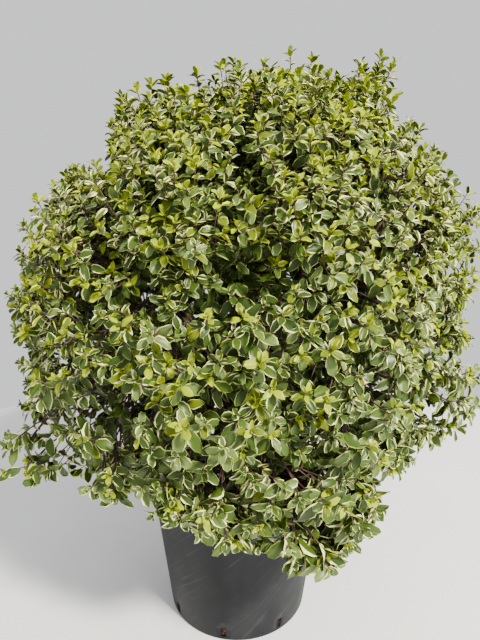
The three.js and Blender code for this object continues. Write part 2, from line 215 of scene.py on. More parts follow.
# %% Sizes of the pot
POT_BASE = 0.157                         # outer radius at the underside
POT_HEIGHT = 0.300
POT_SLOPE = math.tan(math.radians(7))    # the wall leans out by this much for each metre up
POT_WALL = 0.003
RIM_REACH = 0.009                        # the rim band stands this far out from the wall
RIM_DEPTH = 0.020
RIM_OUT = POT_BASE + POT_HEIGHT * POT_SLOPE + RIM_REACH
SLOT_COUNT = 8
SLOT_FIRST = math.radians(-101)          # the first slot sits a little left of the front
SLOT_WIDTH = 0.011
SLOT_LEVELS = np.linspace(0.009, 0.033, 5)
SLOT_STEPS = len(SLOT_LEVELS) - 1


def pot_radius(height):
    """Outer radius of the wall: the base radius plus the height times the slope."""
    return POT_BASE + height * POT_SLOPE


def arc(middle, radius, start, end, count):
    """Points of a circle's arc in the (radius, height) plane, from start to end in degrees."""
    angle = np.radians(np.linspace(start, end, count))
    return np.array(middle) + radius * np.column_stack([np.cos(angle), np.sin(angle)])


def wall_line(levels, inset):
    """Points up the wall at the given heights, a little inside its outer face."""
    return np.column_stack([pot_radius(levels) - inset, levels])


# %% The pot's profile, from the middle of the underside round to the middle of the floor
FOOT_ROUND = 0.004
FOOT_OUT = 0.0005                        # the round foot bulges this far past the wall
EDGE = 0.0013                            # the rim's edges are rounded by this radius
WALL_FROM = 0.050                        # the plain wall starts here, above the slots
LIP_DEPTH = 0.010                        # on the inside it ends this far below the lip
UNDERSIDE = [[0.060, 0], [0.120, 0]]     # two rings between the middle and the foot
INNER_RING = 0.080                       # and one on the floor inside
foot = arc((POT_BASE - FOOT_ROUND + FOOT_OUT, FOOT_ROUND), FOOT_ROUND, -90, 0, 6)
outer_slot = wall_line(SLOT_LEVELS, 0)
wall_top = POT_HEIGHT - POT_WALL - EDGE
outer_wall = wall_line(np.linspace(WALL_FROM, wall_top, 14), 0)
band_in = RIM_OUT - POT_WALL
band_foot = POT_HEIGHT - RIM_DEPTH
band = np.concatenate([
    [[band_in, wall_top], [band_in, band_foot + EDGE]],
    arc((RIM_OUT - EDGE, band_foot + EDGE), EDGE, 200, 360, 6),
    arc((RIM_OUT - 2 * EDGE, POT_HEIGHT - 2 * EDGE), 2 * EDGE, 0, 90, 6),
])
lip = arc((pot_radius(POT_HEIGHT) - POT_WALL + EDGE, POT_HEIGHT - EDGE), EDGE, 90, 180, 4)
inner_wall = wall_line(np.linspace(POT_HEIGHT - LIP_DEPTH, WALL_FROM, 10), POT_WALL)
inner_slot = wall_line(SLOT_LEVELS[::-1], POT_WALL)
inner_floor = [[pot_radius(POT_WALL) - POT_WALL, POT_WALL], [INNER_RING, POT_WALL]]
profile = np.concatenate([
    UNDERSIDE, foot, outer_slot, outer_wall, band, lip, inner_wall, inner_slot, inner_floor])
outer_row = len(UNDERSIDE) + len(foot)
inner_row = len(profile) - len(inner_floor) - len(inner_slot)
print("pot profile:", len(profile), "points")

# %% Columns round the pot, with one at each side and the middle of every slot
half_slot = SLOT_WIDTH / 2 / pot_radius(SLOT_LEVELS.mean())
slot_pitch = 2 * math.pi / SLOT_COUNT
between = np.linspace(half_slot, slot_pitch - half_slot, 11)[1:-1]
offsets = np.concatenate([[-half_slot, 0, half_slot], between])
angles = (SLOT_FIRST + slot_pitch * np.arange(SLOT_COUNT)[:, None] + offsets).ravel()
COLUMNS = len(angles)


def revolve(line, turns):
    """Each (radius, height) point of a profile carried round the upright axis:
    x = radius cos(turn), y = radius sin(turn), z = height."""
    radius, height = line[:, :1], line[:, 1:]
    flat = np.stack([radius * np.cos(turns), radius * np.sin(turns)], axis=-1)
    upright = np.broadcast_to(height[..., None], (*flat.shape[:2], 1))
    return np.concatenate([flat, upright], axis=-1)


def poles(points, columns, low, high):
    """Fans that close a turned surface: the first row to the low point, the last to the high."""
    first = np.arange(columns)
    last = first + len(points) - columns
    fans = [fan(first, len(points))[:, ::-1], fan(last, len(points) + 1)]
    return np.concatenate([points, [low, high]]), np.concatenate(fans)


# %% The windows of the slots left out, and their edges joined through the wall
def slot_reveals(outer, inner, columns):
    """Quads through the wall round each slot. outer and inner are the rows of the window, from
    its foot up, and each side is given in the order that turns its face into the opening."""
    left, right = columns[:, :1], columns[:, 2:]
    near, far = columns[:, :2], columns[:, 1:]
    sides = [
        (outer[:-1] + left, inner[:-1] + left, inner[1:] + left, outer[1:] + left),
        (outer[1:] + right, inner[1:] + right, inner[:-1] + right, outer[:-1] + right),
        (outer[0] + near, outer[0] + far, inner[0] + far, inner[0] + near),
        (outer[-1] + far, outer[-1] + near, inner[-1] + near, inner[-1] + far),
    ]
    return np.concatenate([np.stack(side, axis=-1).reshape(-1, 4) for side in sides])


wall_faces = grid_faces(len(profile), COLUMNS, closed=True)
face_row, face_column = np.divmod(np.arange(len(wall_faces)), COLUMNS)
in_column = face_column % len(offsets) < 2
in_outer = (face_row >= outer_row) & (face_row < outer_row + SLOT_STEPS)
in_inner = (face_row >= inner_row) & (face_row < inner_row + SLOT_STEPS)
wall_faces = wall_faces[~(in_column & (in_outer | in_inner))]
slot_columns = np.arange(SLOT_COUNT)[:, None] * len(offsets) + np.arange(3)
reveals = slot_reveals(
    (outer_row + np.arange(SLOT_STEPS + 1)) * COLUMNS,
    (inner_row + SLOT_STEPS - np.arange(SLOT_STEPS + 1)) * COLUMNS,
    slot_columns)
pot_points = revolve(profile, angles).reshape(-1, 3)
pot_points, pot_ends = poles(pot_points, COLUMNS, (0, 0, 0), (0, 0, POT_WALL))
print("pot faces:", len(wall_faces) + len(reveals) + len(pot_ends))

# %% [markdown]
# ## Scuffed charcoal plastic
# The pot is charcoal black and half matt. Dust lies on it in soft patches, and the dustiest of
# them are rubbed in short slanting streaks. The streaks could be painted on a picture of the
# unwrapped wall, which would show a seam. Here a streak that slants round the wall has
# coordinates of its own: each point's place is turned about the axis in proportion to its height
# and kept as an attribute. A noise stretched upright in those coordinates then leans on the wall.

# %% The pot's finish
SCUFF_TURN = -6.0                        # radians that the streaks wind round for each metre up
RUBBED_GREY = (0.060, 0.063, 0.069)
turned = SCUFF_TURN * pot_points[:, 2]
winding = np.column_stack([
    pot_points[:, 0] * np.cos(turned) - pot_points[:, 1] * np.sin(turned),
    pot_points[:, 0] * np.sin(turned) + pot_points[:, 1] * np.cos(turned),
    pot_points[:, 2],
])
plastic = plain_finish("charcoal_plastic", (0.03, 0.032, 0.036), 0.5, 0.18)
wound = plastic.node_tree.nodes.new("ShaderNodeAttribute")
wound.attribute_name = "winding"
streaks = object_noise(plastic, (1, 1, 0.10), 120, 3, wound.outputs["Vector"])
patches = object_noise(plastic, (1, 1, 0.6), 11, 3)
dust = ramp(plastic, patches, [(0.38, (0.003, 0.004, 0.007)), (0.62, (0.016, 0.017, 0.020))])
slid = ramp(plastic, patches, [(0.44, grey(0)), (0.60, grey(1))])
streak_share = ramp(plastic, streaks, [(0.54, grey(0)), (0.74, grey(0.5))])
streaked = blend_colours(plastic, streak_share, dust, RUBBED_GREY)
feed(plastic, "Base Color", blend_colours(plastic, slid, dust, streaked))
feed(plastic, "Roughness", ramp(plastic, patches, [(0.3, grey(0.40)), (0.7, grey(0.62))]))
add_bump(plastic, object_noise(plastic, (1, 1, 1), 260, 3), 0.00015)

pot = mesh_piece("pot_moulding", pot_points, [wall_faces, reveals, pot_ends], [plastic])
attribute = pot.data.attributes.new("winding", "FLOAT_VECTOR", "POINT")
attribute.data.foreach_set("vector", winding.astype(np.float32).ravel())
place(pot, "pot", "pot")
print("pot finish:", len(plastic.node_tree.nodes), "nodes")

# %% [markdown]
# ## The potting mix
# Bark compost fills the pot to just under the rim: a lumpy dark brown bed with loose chips of
# bark on it. The chips could be scattered as particles, but an export drops those. So the bed is
# a turned profile whose top rows are lifted by a few long waves, and the chips are flattened
# boxes with their corners moved at random, all made in one array. More crumbs sit in the drain
# slots, where the real compost shows.

# %% A smooth random field, and the room inside the pot
MIX_TOP = 0.283
MIX_GAP = 0.0003                         # the mix keeps this far off the wall and the trunk
TRUNK_FOOT = MIX_TOP + MIX_GAP
WAVE_RANGE = 0.6, 1.6                    # the least and greatest number of waves in one length
WAVE_LEVEL = 1.6                         # brings the field's peaks to about 1


def waves(points, size, count, seed):
    """A smooth random field from -1 to 1: the mean of plane sine waves of about the given
    length, each along its own random direction and with its own phase."""
    dice = np.random.default_rng(seed)
    ways = unit(dice.normal(size=(count, 3))) * dice.uniform(*WAVE_RANGE, (count, 1))
    ways = ways * 2 * np.pi / size
    phases = dice.uniform(0, 2 * np.pi, count)
    return np.sin(points @ ways.T + phases).mean(axis=-1) * math.sqrt(count) / WAVE_LEVEL


def inside_pot(levels):
    """Radius of the mix at a height, a hair inside the wall."""
    return pot_radius(levels) - POT_WALL - MIX_GAP


# %% The bed
BED_COLUMNS = 72
FLAT_RADIUS, FLAT_FADE = 0.02, 0.03      # the bed is flat at the trunk, and uneven further out
HUMP_HEIGHT, HUMP_LENGTH = 0.0035, 0.09
LUMP_HEIGHT, LUMP_LENGTH = 0.0015, 0.02
bed_side = np.linspace(POT_WALL + MIX_GAP, MIX_TOP, 5)
bed_rings = np.linspace(1, 0.02, 26)[1:]
bed_profile = np.concatenate([
    np.column_stack([inside_pot(bed_side), bed_side]),
    np.column_stack([inside_pot(MIX_TOP) * bed_rings, np.full(len(bed_rings), MIX_TOP)]),
])
bed_points = revolve(bed_profile, full_turn(BED_COLUMNS)).reshape(-1, 3)
bed_points, bed_ends = poles(bed_points, BED_COLUMNS, (0, 0, bed_side[0]), (0, 0, MIX_TOP))
on_top = bed_points[:, 2] > MIX_TOP - 0.001
from_trunk = np.hypot(bed_points[:, 0], bed_points[:, 1]) - FLAT_RADIUS
humps = HUMP_HEIGHT * waves(bed_points, HUMP_LENGTH, 6, 1)
lumps = LUMP_HEIGHT * waves(bed_points, LUMP_LENGTH, 8, 2)
bed_points[:, 2] += on_top * np.clip(from_trunk / FLAT_FADE, 0, 1) * (humps + lumps)
bed_faces = grid_faces(len(bed_profile), BED_COLUMNS, closed=True)
print("bed:", len(bed_points), "points, up to", round(bed_points[:, 2].max(), 4))

# %% Chips and crumbs of bark
CORNERS = np.array([[x, y, z] for z in (-1, 1) for y in (-1, 1) for x in (-1, 1)], float)
BOX_FACES = np.array([
    [0, 2, 3, 1], [4, 5, 7, 6], [0, 1, 5, 4], [2, 6, 7, 3], [0, 4, 6, 2], [1, 3, 7, 5]])
CORNER_SHIFT = 0.45                      # a corner moves by up to this share of its half size
SMALLEST = [0.5, 0.3, 0.12]              # a chip's half sizes, as shares of the size asked for
LARGEST = [1.5, 0.7, 0.35]


def turned_frames(count, dice, flat):
    """Random frames as (count, 3, 3) arrays of rows. The third row leans off upright by a random
    amount that is less the flatter they lie."""
    third = unit(dice.normal(size=(count, 3)) * (1 - flat) + UP * flat)
    first = unit(np.cross(third, dice.normal(size=(count, 3))))
    return np.stack([first, np.cross(third, first), third], axis=1)


def chips(places, size, dice, flat):
    """One bent box for each place: corners of a unit box, each moved a little at random, scaled
    to the chip's three half sizes, turned into its frame and carried to its place."""
    count = len(places)
    corners = CORNERS + dice.uniform(-CORNER_SHIFT, CORNER_SHIFT, (count, 8, 3))
    corners = corners * (size * dice.uniform(SMALLEST, LARGEST, (count, 3)))[:, None]
    frames = turned_frames(count, dice, flat)
    points = np.einsum("nvi,nij->nvj", corners, frames) + places[:, None]
    faces = BOX_FACES + 8 * np.arange(count)[:, None, None]
    return points.reshape(-1, 3), faces.reshape(-1, 4)


def round_the_axis(radius, turn, height):
    """Points at a radius, a turn and a height about the upright axis."""
    return np.column_stack([radius * np.cos(turn), radius * np.sin(turn), height])


# %% Where they lie
CHIP_COUNT, CHIP_SIZE, CHIP_FLATNESS = 1100, 0.0075, 0.75
CHIP_LEVELS = -0.001, 0.004              # a chip's middle lies between these above the bed
CHIP_ROOM = 0.008                        # and this far or more from the wall
BARE_SHARE = 0.03                        # this share of the bed, round the trunk, has no chips
CRUMBS, CRUMB_SIZE = 14, 0.0022          # in each slot
CRUMB_LEVELS = SLOT_LEVELS[0] + 0.003, SLOT_LEVELS[-1] - 0.003
CRUMB_DEPTHS = -0.0015, 0.0005           # from the wall's inner face, inwards and outwards
CRUMB_ROOM = 0.7                         # they fill this share of the slot's width
chip_dice = np.random.default_rng(7)
chip_radius = np.sqrt(chip_dice.uniform(BARE_SHARE, 1, CHIP_COUNT))
chip_radius = (inside_pot(MIX_TOP) - CHIP_ROOM) * chip_radius
chip_turn = chip_dice.uniform(0, 2 * np.pi, CHIP_COUNT)
chip_level = MIX_TOP + chip_dice.uniform(*CHIP_LEVELS, CHIP_COUNT)
chip_places = round_the_axis(chip_radius, chip_turn, chip_level)
chip_points, chip_faces = chips(chip_places, CHIP_SIZE, chip_dice, CHIP_FLATNESS)

crumb_turn = SLOT_FIRST + slot_pitch * np.repeat(np.arange(SLOT_COUNT), CRUMBS)
crumb_count = len(crumb_turn)
crumb_turn = crumb_turn + chip_dice.uniform(-CRUMB_ROOM, CRUMB_ROOM, crumb_count) * half_slot
crumb_level = chip_dice.uniform(*CRUMB_LEVELS, crumb_count)
crumb_radius = pot_radius(crumb_level) - POT_WALL + chip_dice.uniform(*CRUMB_DEPTHS, crumb_count)
crumb_places = round_the_axis(crumb_radius, crumb_turn, crumb_level)
crumb_points, crumb_faces = chips(crumb_places, CRUMB_SIZE, chip_dice, 0.0)
print("chips and crumbs:", CHIP_COUNT + crumb_count)

# %% Their finish
compost = plain_finish("bark_compost", (0.035, 0.02, 0.014), 0.95, 0.25)
brown = ramp(compost, object_noise(compost, (1, 1, 1), 95, 2), [
    (0.30, (0.010, 0.006, 0.005)), (0.48, (0.045, 0.022, 0.014)),
    (0.60, (0.085, 0.040, 0.024)), (0.76, (0.20, 0.13, 0.085))])
feed(compost, "Base Color", brown)
add_bump(compost, object_noise(compost, (1, 1, 1), 420, 4), 0.0012)

bed = mesh_piece("compost_bed", bed_points, [bed_faces, bed_ends], [compost])
place(bed, "potting_mix", "potting_mix")
loose = mesh_piece(
    "bark_chips", np.concatenate([chip_points, crumb_points]),
    [chip_faces, crumb_faces + len(chip_points)], [compost])
place(loose, "potting_mix")
print("faces of the mix:", len(bed.data.polygons) + len(loose.data.polygons))

# %% [markdown]
# ## The crown's outline
# The shrub has been clipped and has grown out again: a dense dome, wide and low at the skirt,
# with sprays that hang or stand out of it. The outline is one function of direction from a point
# in the crown's middle. A sculpted mesh would show the same dome, but the twigs and leaves below
# have to ask how far they may grow in any direction, and a function answers that. It is the one
# that shaped the solids, so what grows here reaches as far as they do and no further.

# %% How far the foliage reaches
CENTRE = np.array([0, 0, 0.745])
RADIUS, RISE, DROP = 0.470, 0.424, 0.418         # outwards, up and down from the centre
POWER_ABOVE, POWER_BELOW = 2.2, 4.5      # 2 is an ellipse, more is squarer
CROWN_LEAN = 0.046                       # the upper right stands out by this, the left falls back
SPRAY_BUMPS = (                          # azimuth, elevation, reach and spread of each
    (-66, -50, 0.078, 10),
    (-153, -34, 0.062, 7),
    (-136, -42, -0.060, 10),
    (-111, -44, -0.050, 9),
    (183, -38, 0.030, 15),
    (-14, 57, 0.040, 6),
    (-28, 38, -0.052, 13),
    (-148, 37, -0.095, 7),
    (-134, 33, -0.045, 7),
    (-164, 40, -0.045, 7),
    (-132, 54, 0.022, 8),
    (-108, 62, 0.018, 15),
    (-40, -35, -0.058, 9),
    (-30, -20, 0.046, 9),
)


def direction_at(azimuth, elevation):
    """The unit vector at angles in degrees: azimuth from +X towards +Y, elevation above level."""
    turn, rise = np.radians(azimuth), np.radians(elevation)
    return np.stack([np.cos(rise) * np.cos(turn), np.cos(rise) * np.sin(turn), np.sin(rise)], -1)


def closeness(directions, azimuth, elevation, spread):
    """How near directions are to one of them: 1 at it, less by exp(-(angle / spread) ^ 2)."""
    angle = np.arccos(np.clip(directions @ direction_at(azimuth, elevation), -1, 1))
    return np.exp(-(angle / np.radians(spread)) ** 2)


def reach(directions):
    """Distance from the centre to the outline. A rounded box of revolution, (level ^ p +
    upright ^ p) ^ (-1 / p), plus the lean times 2 across up, a product that is 1 at most, and a
    soft bump or dip for each spray or hollow."""
    across, up = directions[..., 0], directions[..., 2]
    power = np.where(up > 0, POWER_ABOVE, POWER_BELOW)
    level = np.hypot(across, directions[..., 1]) / RADIUS
    upright = np.abs(up) / np.where(up > 0, RISE, DROP)
    distance = (level ** power + upright ** power) ** (-1 / power)
    distance = distance + CROWN_LEAN * 2 * across * np.maximum(up, 0)
    for azimuth, elevation, height, spread in SPRAY_BUMPS:
        distance = distance + height * closeness(directions, azimuth, elevation, spread)
    return distance


def out_from_centre(directions, share):
    """Points at a share of the reach along the directions."""
    return CENTRE + directions * (reach(directions) * share)[..., None]


print("top of the crown:", out_from_centre(UP, 1)[2].round(3))

# %% [markdown]
# ## Trunk and boughs
# A short stem with a flared foot rises inside the crown. One bough leaves it for each mass of
# foliage, thinner towards its end. A limb could be a Blender curve with a round bevel, but a
# bevel is smooth. Here each limb is a tube of rings of points laid square to a path. The bark's
# relief is in the rings themselves, as long ridges and shallow cracks, not only in the shading,
# because a bump leaves the outline smooth.

# %% Paths of the limbs
TRUNK_TOP, TRUNK_LEAN, TRUNK_SWAY = 0.800, 0.014, 0.009
BOUGH_LOWEST, BOUGH_HIGHEST = 0.326, 0.668       # between these heights the boughs leave the trunk
BOUGH_END = 0.46                         # a bough ends at this share of the reach
BOUGH_CLIMB, BOUGH_LIFT = 0.85, 0.25     # how strongly it heads up at its foot and at its end
BOUGH_PULLS = 0.4, 0.3                   # its curve's two handles, as shares of its span
TIERS = (                                # name, count, elevation, turn, stride of the heights
    ("skirt", 7, -35, 12, 3),
    ("middle", 7, 6, -14, 3),
    ("upper", 5, 47, 20, 2),
    ("top", 1, 90, 0, 1),
)


def trunk_path(heights):
    """Points of the trunk's middle: a steady lean, plus one sway of a sine along its height."""
    share = (heights - TRUNK_FOOT) / (TRUNK_TOP - TRUNK_FOOT)
    return np.stack([
        TRUNK_LEAN * share + TRUNK_SWAY * np.sin(2 * np.pi * share),
        TRUNK_SWAY * share * np.sin(np.pi * share),
        heights], axis=-1)


def bezier(controls, shares):
    """Points of cubic curves. controls is (n, 4, 3) and shares (n, m) or (m,). The weights are
    the four Bernstein terms (1 - t)^3, 3 t (1 - t)^2, 3 t^2 (1 - t) and t^3."""
    t = np.broadcast_to(shares, (len(controls), np.shape(shares)[-1]))
    weights = [(1 - t) ** 3, 3 * t * (1 - t) ** 2, 3 * t ** 2 * (1 - t), t ** 3]
    return np.stack(weights, axis=-1) @ controls


def bezier_ways(controls, shares):
    """Unit tangents of the same curves, from the weights of their derivative."""
    t = np.broadcast_to(shares, (len(controls), np.shape(shares)[-1]))
    weights = np.stack([(1 - t) ** 2, 2 * t * (1 - t), t ** 2], axis=-1)
    return unit(weights @ np.diff(controls, axis=1))


# %% One bough for each mass, and the top mass on the trunk's tip
masses = []
for tier, count, elevation, turn, stride in TIERS:
    first = len(masses)
    for i in range(count):
        masses.append({
            "name": f"{tier}_{i + 1}" if count > 1 else tier,
            "direction": direction_at(turn + i * 360 / count, elevation),
            "rank": first + (i * stride) % count,
        })
last_rank = len(masses) - 2
for mass in masses[:-1]:
    way = unit(mass["direction"] + BOUGH_LIFT * UP)
    end = out_from_centre(mass["direction"], BOUGH_END)
    height = BOUGH_LOWEST + (BOUGH_HIGHEST - BOUGH_LOWEST) * mass["rank"] / last_rank
    start = trunk_path(np.float64(height))
    span = np.linalg.norm(end - start)
    outward = unit(mass["direction"] * (1, 1, 0))
    first_way = unit(outward + BOUGH_CLIMB * UP)
    mass["heading"], mass["stem_foot"] = way, end
    handles = start + first_way * span * BOUGH_PULLS[0], end - way * span * BOUGH_PULLS[1]
    mass["bough"] = np.array([start, *handles, end])
below_tip, trunk_tip = trunk_path(np.array([TRUNK_TOP - 0.001, TRUNK_TOP]))
masses[-1]["heading"] = unit(trunk_tip - below_tip)
masses[-1]["stem_foot"] = trunk_tip
print("masses:", len(masses))

# %% A tube with bark relief
RIDGE_SIZE, RIDGE_STRETCH = 0.012, 0.12  # ridges are this wide, and longer by 1 / stretch
RIDGE_SHARE = 0.09                       # they swell a limb by up to this share of its radius
KNOB_SIZE, KNOB_SHARE = 0.03, 0.05
LIMB_HINT = np.array([0.31, 0.95, 0.05])         # each ring's first spoke is square to this


def limb(path, radii, seed):
    """A closed tube along a path of points, with radii (rings, sides). Each ring is a circle
    square to the path, swollen by ridges that run along the limb and by knobs, both smooth
    random waves."""
    sides = radii.shape[1]
    ways = unit(np.gradient(path, axis=0))
    across = unit(np.cross(ways, LIMB_HINT))
    around = np.cross(ways, across)
    turns = full_turn(sides)[:, None]
    spokes = np.cos(turns) * across[:, None] + np.sin(turns) * around[:, None]
    run = np.concatenate([[0], np.cumsum(np.linalg.norm(np.diff(path, axis=0), axis=1))])
    along = RIDGE_STRETCH * run[:, None, None] * UP
    ridges = waves(spokes * RIDGE_SIZE + along, RIDGE_SIZE, 9, seed)
    knobs = waves(spokes * radii[..., None] + path[:, None], KNOB_SIZE, 6, seed + 1)
    swollen = radii * (1 + RIDGE_SHARE * ridges + KNOB_SHARE * knobs)
    points = (path[:, None] + spokes * swollen[..., None]).reshape(-1, 3)
    points, ends = poles(points, sides, path[0], path[-1])
    return points, [grid_faces(len(path), sides, closed=True), ends]


# %% The bark's finish
bark = plain_finish("cracked_bark", (0.1, 0.07, 0.055), 0.85, 0.3)
grain = object_noise(bark, (1, 1, 0.22), 170, 5)
tones = ramp(bark, grain, [
    (0.30, (0.022, 0.014, 0.012)), (0.50, (0.085, 0.058, 0.046)), (0.72, (0.19, 0.15, 0.125))])
feed(bark, "Base Color", tones)
add_bump(bark, grain, 0.0012)

# %% The trunk, with five low buttresses at its foot
TRUNK_RADIUS, TRUNK_TIP_RADIUS = 0.017, 0.0052
FLARE, FLARE_HEIGHT = 0.009, 0.026
BUTTRESSES, BUTTRESS_SHARE = 5, 0.45     # they swell and pinch the flare by this share
TRUNK_SIDES, TRUNK_RINGS = 28, 90
RING_CROWDING = 1.3                      # over 1, the rings lie closer together at the foot
TRUNK_SEED, BOUGH_SEED = 11, 20
ring_shares = np.linspace(0, 1, TRUNK_RINGS) ** RING_CROWDING
rings = TRUNK_FOOT + (TRUNK_TOP - TRUNK_FOOT) * ring_shares
rise = rings - TRUNK_FOOT
taper = TRUNK_RADIUS + (TRUNK_TIP_RADIUS - TRUNK_RADIUS) * rise / rise[-1]
flare = FLARE * np.exp(-rise / FLARE_HEIGHT)
buttresses = 1 + BUTTRESS_SHARE * np.cos(BUTTRESSES * full_turn(TRUNK_SIDES))
trunk_radii = taper[:, None] + flare[:, None] * buttresses
trunk_points, trunk_faces = limb(trunk_path(rings), trunk_radii, TRUNK_SEED)
trunk = mesh_piece("trunk_bark", trunk_points, trunk_faces, [bark])
place(trunk, "bark", "trunk")

# %% The boughs
BOUGH_RADIUS, BOUGH_TIP_RADIUS = 0.0072, 0.0046
BOUGH_SIDES, BOUGH_RINGS = 10, 34
bough_shares = np.linspace(0, 1, BOUGH_RINGS)
bough_radii = BOUGH_RADIUS + (BOUGH_TIP_RADIUS - BOUGH_RADIUS) * bough_shares
bough_radii = np.repeat(bough_radii[:, None], BOUGH_SIDES, axis=1)
for i, mass in enumerate(masses[:-1]):
    path = bezier(mass["bough"][None], bough_shares)[0]
    points, faces = limb(path, bough_radii, BOUGH_SEED + i)
    bough = mesh_piece(f"bough_{mass['name']}_bark", points, faces, [bark])
    place(bough, "bark", f"bough_{mass['name']}")
print("limbs:", len(masses))

# %% [markdown]
# ## Twigs
# From the end of each bough the wood forks again and again until every shoot has a twig of its
# own. Twigs could be drawn one by one, or scattered by a particle system, but drawn ones are too
# many and scattered ones join nothing. So the shoots' tips are dealt first, evenly over the crown
# by the golden angle. Each is set in from the outline by an amount that neighbours share, so the
# outline is ragged in clumps as on a clipped shrub. A few proud shoots outgrow their clump, low
# down some patches are nearly bare, and lone sprays stand or hang where the real one has them.
# Then one rule joins the tips to the bough: a stem that feeds several tips runs one step towards
# their middle and forks, and the two furthest tips each take those nearest to them. It is the
# solids' rule, carried on to about twenty-four times as many tips.

# %% Sizes for the tips of the shoots
SHELLS = (                               # count, and the two depths between which they end
    (2900, 0.005, 0.06),
    (1270, 0.12, 0.26),
    (950, 0.30, 0.50),
)
KEPT_SHARE = 0.44, 0.94                  # the share of them that are kept, low and at the top
TIP_JITTER = 0.5                         # each strays within this share of the spacing
CLUMPS, CLUMP_JITTER = 240, 0.05
CLUMP_DEPTH = 0.11                       # a clump is set in by up to this share of the reach
CLUMP_POWER = 1.5                        # over 1, few clumps are set in as far as that
PROUD_SHARE = 0.14                       # this share of the shoots outgrow their clump
PROUD_STEP = 0.035                       # which, at the top, is set in by this much more
TIP_ROOM = 0.019, 0.0145                 # leaves reach this far past a tip, low and at the top
RIM_ROOM = 0.010                         # tips keep this far off the pot and its rim
CROWN_FOOT, CROWN_TOP = 0.40, 1.10       # heights that count as low and as the top
HOLLOWS = (                              # azimuth, elevation, depth and spread of each dark gap
    (-88, 9, 0.45, 4.6),
    (-122, 2, 0.12, 5),
)
GAPS = (                                 # azimuth, elevation and spread where few shoots grow
    (-116, -17, 7),
    (-131, -28, 8),
    (-148, -36, 8),
    (-166, -41, 9),
    (175, -44, 9),
    (-158, -12, 5),
    (-50, -18, 6),
    (-36, -25, 6),
    (-18, -31, 7),
    (0, -35, 6),
    (-80, -47, 5),
)
GAP_LOSS = 0.9                           # this share of them is missing in a gap's middle
SPRIGS = (                               # azimuth, elevation, spread, shoots of each lone spray
    (-66, -50, 5, 18),
    (-53, -45, 3, 7),
    (-42, -34, 3, 6),
    (-153, -34, 3.5, 12),
    (-121, -35, 1.8, 7),
    (-104, -38, 4, 12),
    (-94, -46, 5, 13),
    (-32, -34, 2.5, 6),
    (-30, -20, 4.5, 9),
    (-26, 19, 3, 8),
    (-24, 10, 3, 6),
    (-27, 0, 3, 6),
    (-25, -10, 3, 6),
    (-14, 57, 3, 8),
    (-172, 32, 2.5, 11),
    (-140, 54, 3, 6),
    (-63, -48, 4.5, 9),
)
SPRIG_DEPTH = 0.07                       # its tips are set in by up to this share of the reach


# %% Places in the crown
def golden_directions(count):
    """Directions spread evenly over a sphere: equal steps of height, turned by the golden angle."""
    i = np.arange(count)
    height = 1 - (2 * i + 1) / count
    level = np.sqrt(1 - height ** 2)
    turn = i * np.pi * (3 - math.sqrt(5))
    return np.stack([level * np.cos(turn), level * np.sin(turn), height], axis=-1)


def clear_of_pot(points, margin):
    """True where a point is above the pot or outside its rim by the margin."""
    out = np.hypot(points[..., 0], points[..., 1])
    return (points[..., 2] > POT_HEIGHT + margin) | (out > RIM_OUT + margin)


def height_share(points):
    """0 low in the crown and 1 at its top."""
    return np.clip((points[..., 2] - CROWN_FOOT) / (CROWN_TOP - CROWN_FOOT), 0, 1)


def blend(low, high, share):
    """The value a share of the way from low to high."""
    return low + (high - low) * share


def room_for_leaves(spots, ways):
    """The spots drawn back along their ways, so that the leaves beyond a tip keep inside."""
    return spots - ways * blend(*TIP_ROOM, height_share(spots))[:, None]


# %% Dealing the tips
def shell_tips(count, depths, clump_ways, clump_depths, dice):
    """The tips of one shell. Each strays a little from its even place, and its depth is its own
    plus its clump's, unless it is proud, plus the hollows'. Fewer are kept low down, where their
    leaves are larger, and fewest in the gaps."""
    jitter = TIP_JITTER * math.sqrt(4 * math.pi / count)
    ways = unit(golden_directions(count) + jitter * dice.uniform(-0.5, 0.5, (count, 3)))
    clump = np.argmax(ways @ clump_ways.T, axis=1)
    proud = dice.uniform(0, 1, count) < PROUD_SHARE
    step = PROUD_STEP * np.maximum(ways[:, 2], 0)
    depth = np.where(proud, 0, clump_depths[clump] + step) + dice.uniform(*depths, count)
    for azimuth, elevation, hollow, spread in HOLLOWS:
        depth = depth + hollow * closeness(ways, azimuth, elevation, spread)
    spots = out_from_centre(ways, 1 - depth)
    share = blend(*KEPT_SHARE, height_share(spots))
    for azimuth, elevation, spread in GAPS:
        share = share * (1 - GAP_LOSS * closeness(ways, azimuth, elevation, spread))
    kept = dice.uniform(0, 1, count) < share
    return room_for_leaves(spots[kept], ways[kept])


def sprig_tips(azimuth, elevation, spread, count, dice):
    """The tips of one lone spray, scattered about its direction as a bell curve does."""
    stray = np.radians(spread) * dice.normal(size=(count, 3))
    ways = unit(direction_at(azimuth, elevation) + stray)
    spots = out_from_centre(ways, 1 - dice.uniform(0, SPRIG_DEPTH, count))
    return room_for_leaves(spots, ways)


def deal_tips(dice):
    """The tips of every shell and then of every lone spray."""
    clump_ways = unit(golden_directions(CLUMPS) + dice.normal(0, CLUMP_JITTER, (CLUMPS, 3)))
    clump_depths = CLUMP_DEPTH * dice.uniform(0, 1, CLUMPS) ** CLUMP_POWER
    found = [shell_tips(count, depths, clump_ways, clump_depths, dice)
             for count, *depths in SHELLS]
    return np.concatenate(found + [sprig_tips(*sprig, dice) for sprig in SPRIGS])


tips = deal_tips(np.random.default_rng(31))
# The last of these ways is straight down, and tips nearest to that one are left out.
mass_ways = np.array([mass["direction"] for mass in masses] + [-UP])
owner = np.argmax(unit(tips - CENTRE) @ mass_ways.T, axis=1)
owner[~clear_of_pot(tips, RIM_ROOM)] = len(masses)
print("shoots:", int((owner < len(masses)).sum()))

